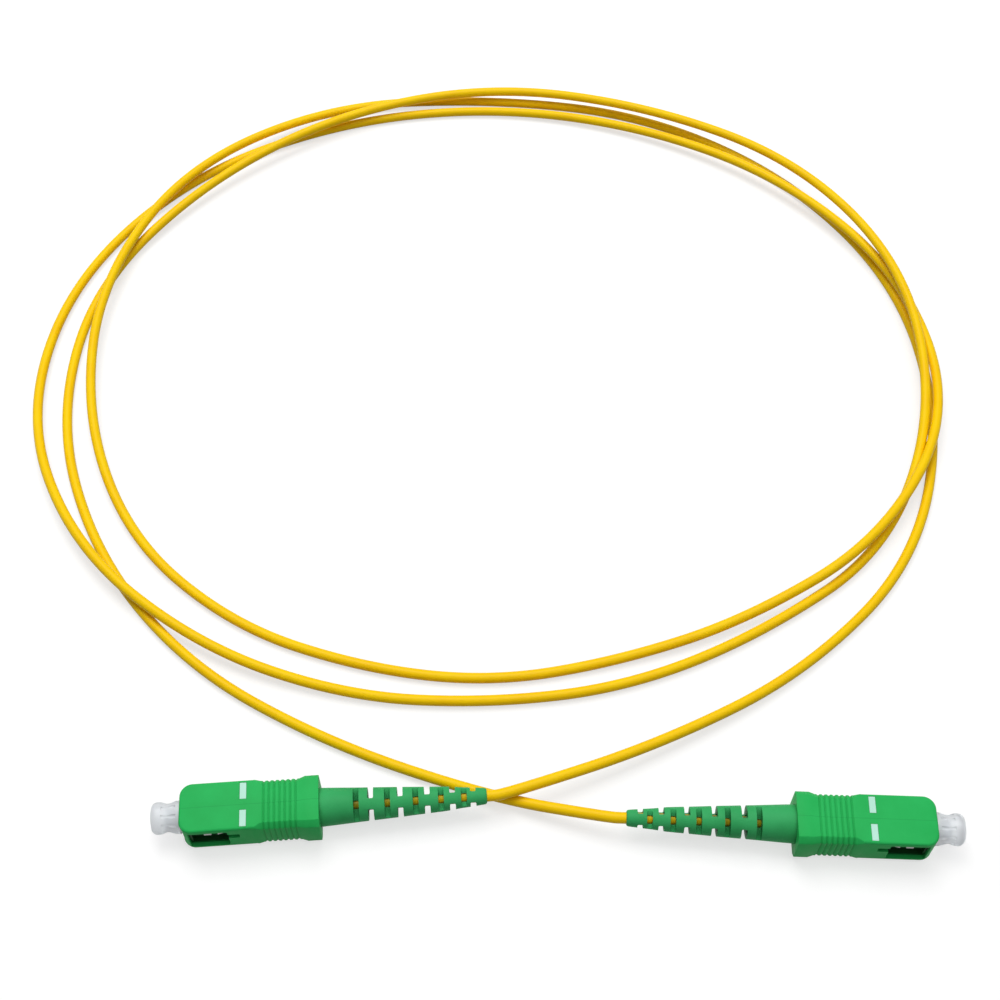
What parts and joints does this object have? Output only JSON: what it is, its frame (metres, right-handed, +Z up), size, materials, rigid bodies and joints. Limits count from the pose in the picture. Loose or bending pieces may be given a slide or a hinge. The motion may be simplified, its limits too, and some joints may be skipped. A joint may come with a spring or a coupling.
{
  "type": "fiber optic patch cord",
  "caption": "Coiled yellow fiber optic patch cord with a green angled push-pull plug, ribbed boot and clear dust cap at each end.",
  "frame": {"origin": "on the surface that the plugs lie on, below the middle of the box around both plugs", "axes": "+X along the plugs, from the left cap in the picture to the right one; +Y towards the coil; +Z up"},
  "size_m": [0.1869, 0.1912, 0.0093],
  "materials": {
    "grip": "green moulded plastic, satin",
    "grip_marks": "pale mint plastic, flush",
    "plug_frame": "white moulded plastic",
    "boot": "green flexible rubber, dull",
    "dust_cap": "clear milky plastic",
    "ferrule": "white polished ceramic",
    "steel": "nickel plated metal",
    "stop_ring": "turned metal",
    "crimp_sleeve": "soft pressed metal",
    "glass_fibre": "bare glass",
    "cable_jacket": "yellow smooth jacket, satin",
    "aramid_yarn": "yellow strength yarn",
    "buffered_fibre": "white tight buffer"
  },
  "bodies": {
    "cord": {"cable_jacket": "cable_jacket", "aramid_yarn": "aramid_yarn", "buffered_fibre": "buffered_fibre", "plug_frame_a": "plug_frame", "stop_ring_a": "stop_ring", "crimp_sleeve_a": "crimp_sleeve", "boot_a": "boot", "ferrule_spring_a": "steel", "plug_frame_b": "plug_frame", "stop_ring_b": "stop_ring", "crimp_sleeve_b": "crimp_sleeve", "boot_b": "boot", "ferrule_spring_b": "steel"},
    "grip_a_body": {"grip_a": "grip", "grip_marks_a": "grip_marks"},
    "ferrule_a_body": {"ferrule_a": "ferrule", "ferrule_flange_a": "steel", "glass_fibre_a": "glass_fibre"},
    "cap_a_body": {"dust_cap_a": "dust_cap"},
    "grip_b_body": {"grip_b": "grip", "grip_marks_b": "grip_marks"},
    "ferrule_b_body": {"ferrule_b": "ferrule", "ferrule_flange_b": "steel", "glass_fibre_b": "glass_fibre"},
    "cap_b_body": {"dust_cap_b": "dust_cap"}
  },
  "joints": [
    {"name": "grip_slide_a", "type": "slide", "parent": "cord", "child": "grip_a_body", "axis": [0.9973, 0.0732, 0], "range_m": [0, 0.0018]},
    {"name": "ferrule_float_a", "type": "slide", "parent": "cord", "child": "ferrule_a_body", "axis": [0.9973, 0.0732, 0], "range_m": [0, 0.001], "stiffness_N_per_m": 5000, "springref_m": -0.001, "deforming": ["ferrule_spring_a"]},
    {"name": "cap_pull_a", "type": "slide", "parent": "cord", "child": "cap_a_body", "axis": [-0.9973, -0.0732, 0], "range_m": [0, 0.02]},
    {"name": "grip_slide_b", "type": "slide", "parent": "cord", "child": "grip_b_body", "axis": [-0.9993, 0.0375, 0], "range_m": [0, 0.0018]},
    {"name": "ferrule_float_b", "type": "slide", "parent": "cord", "child": "ferrule_b_body", "axis": [-0.9993, 0.0375, 0], "range_m": [0, 0.001], "stiffness_N_per_m": 5000, "springref_m": -0.001, "deforming": ["ferrule_spring_b"]},
    {"name": "cap_pull_b", "type": "slide", "parent": "cord", "child": "cap_b_body", "axis": [0.9993, -0.0375, 0], "range_m": [0, 0.02]}
  ]
}
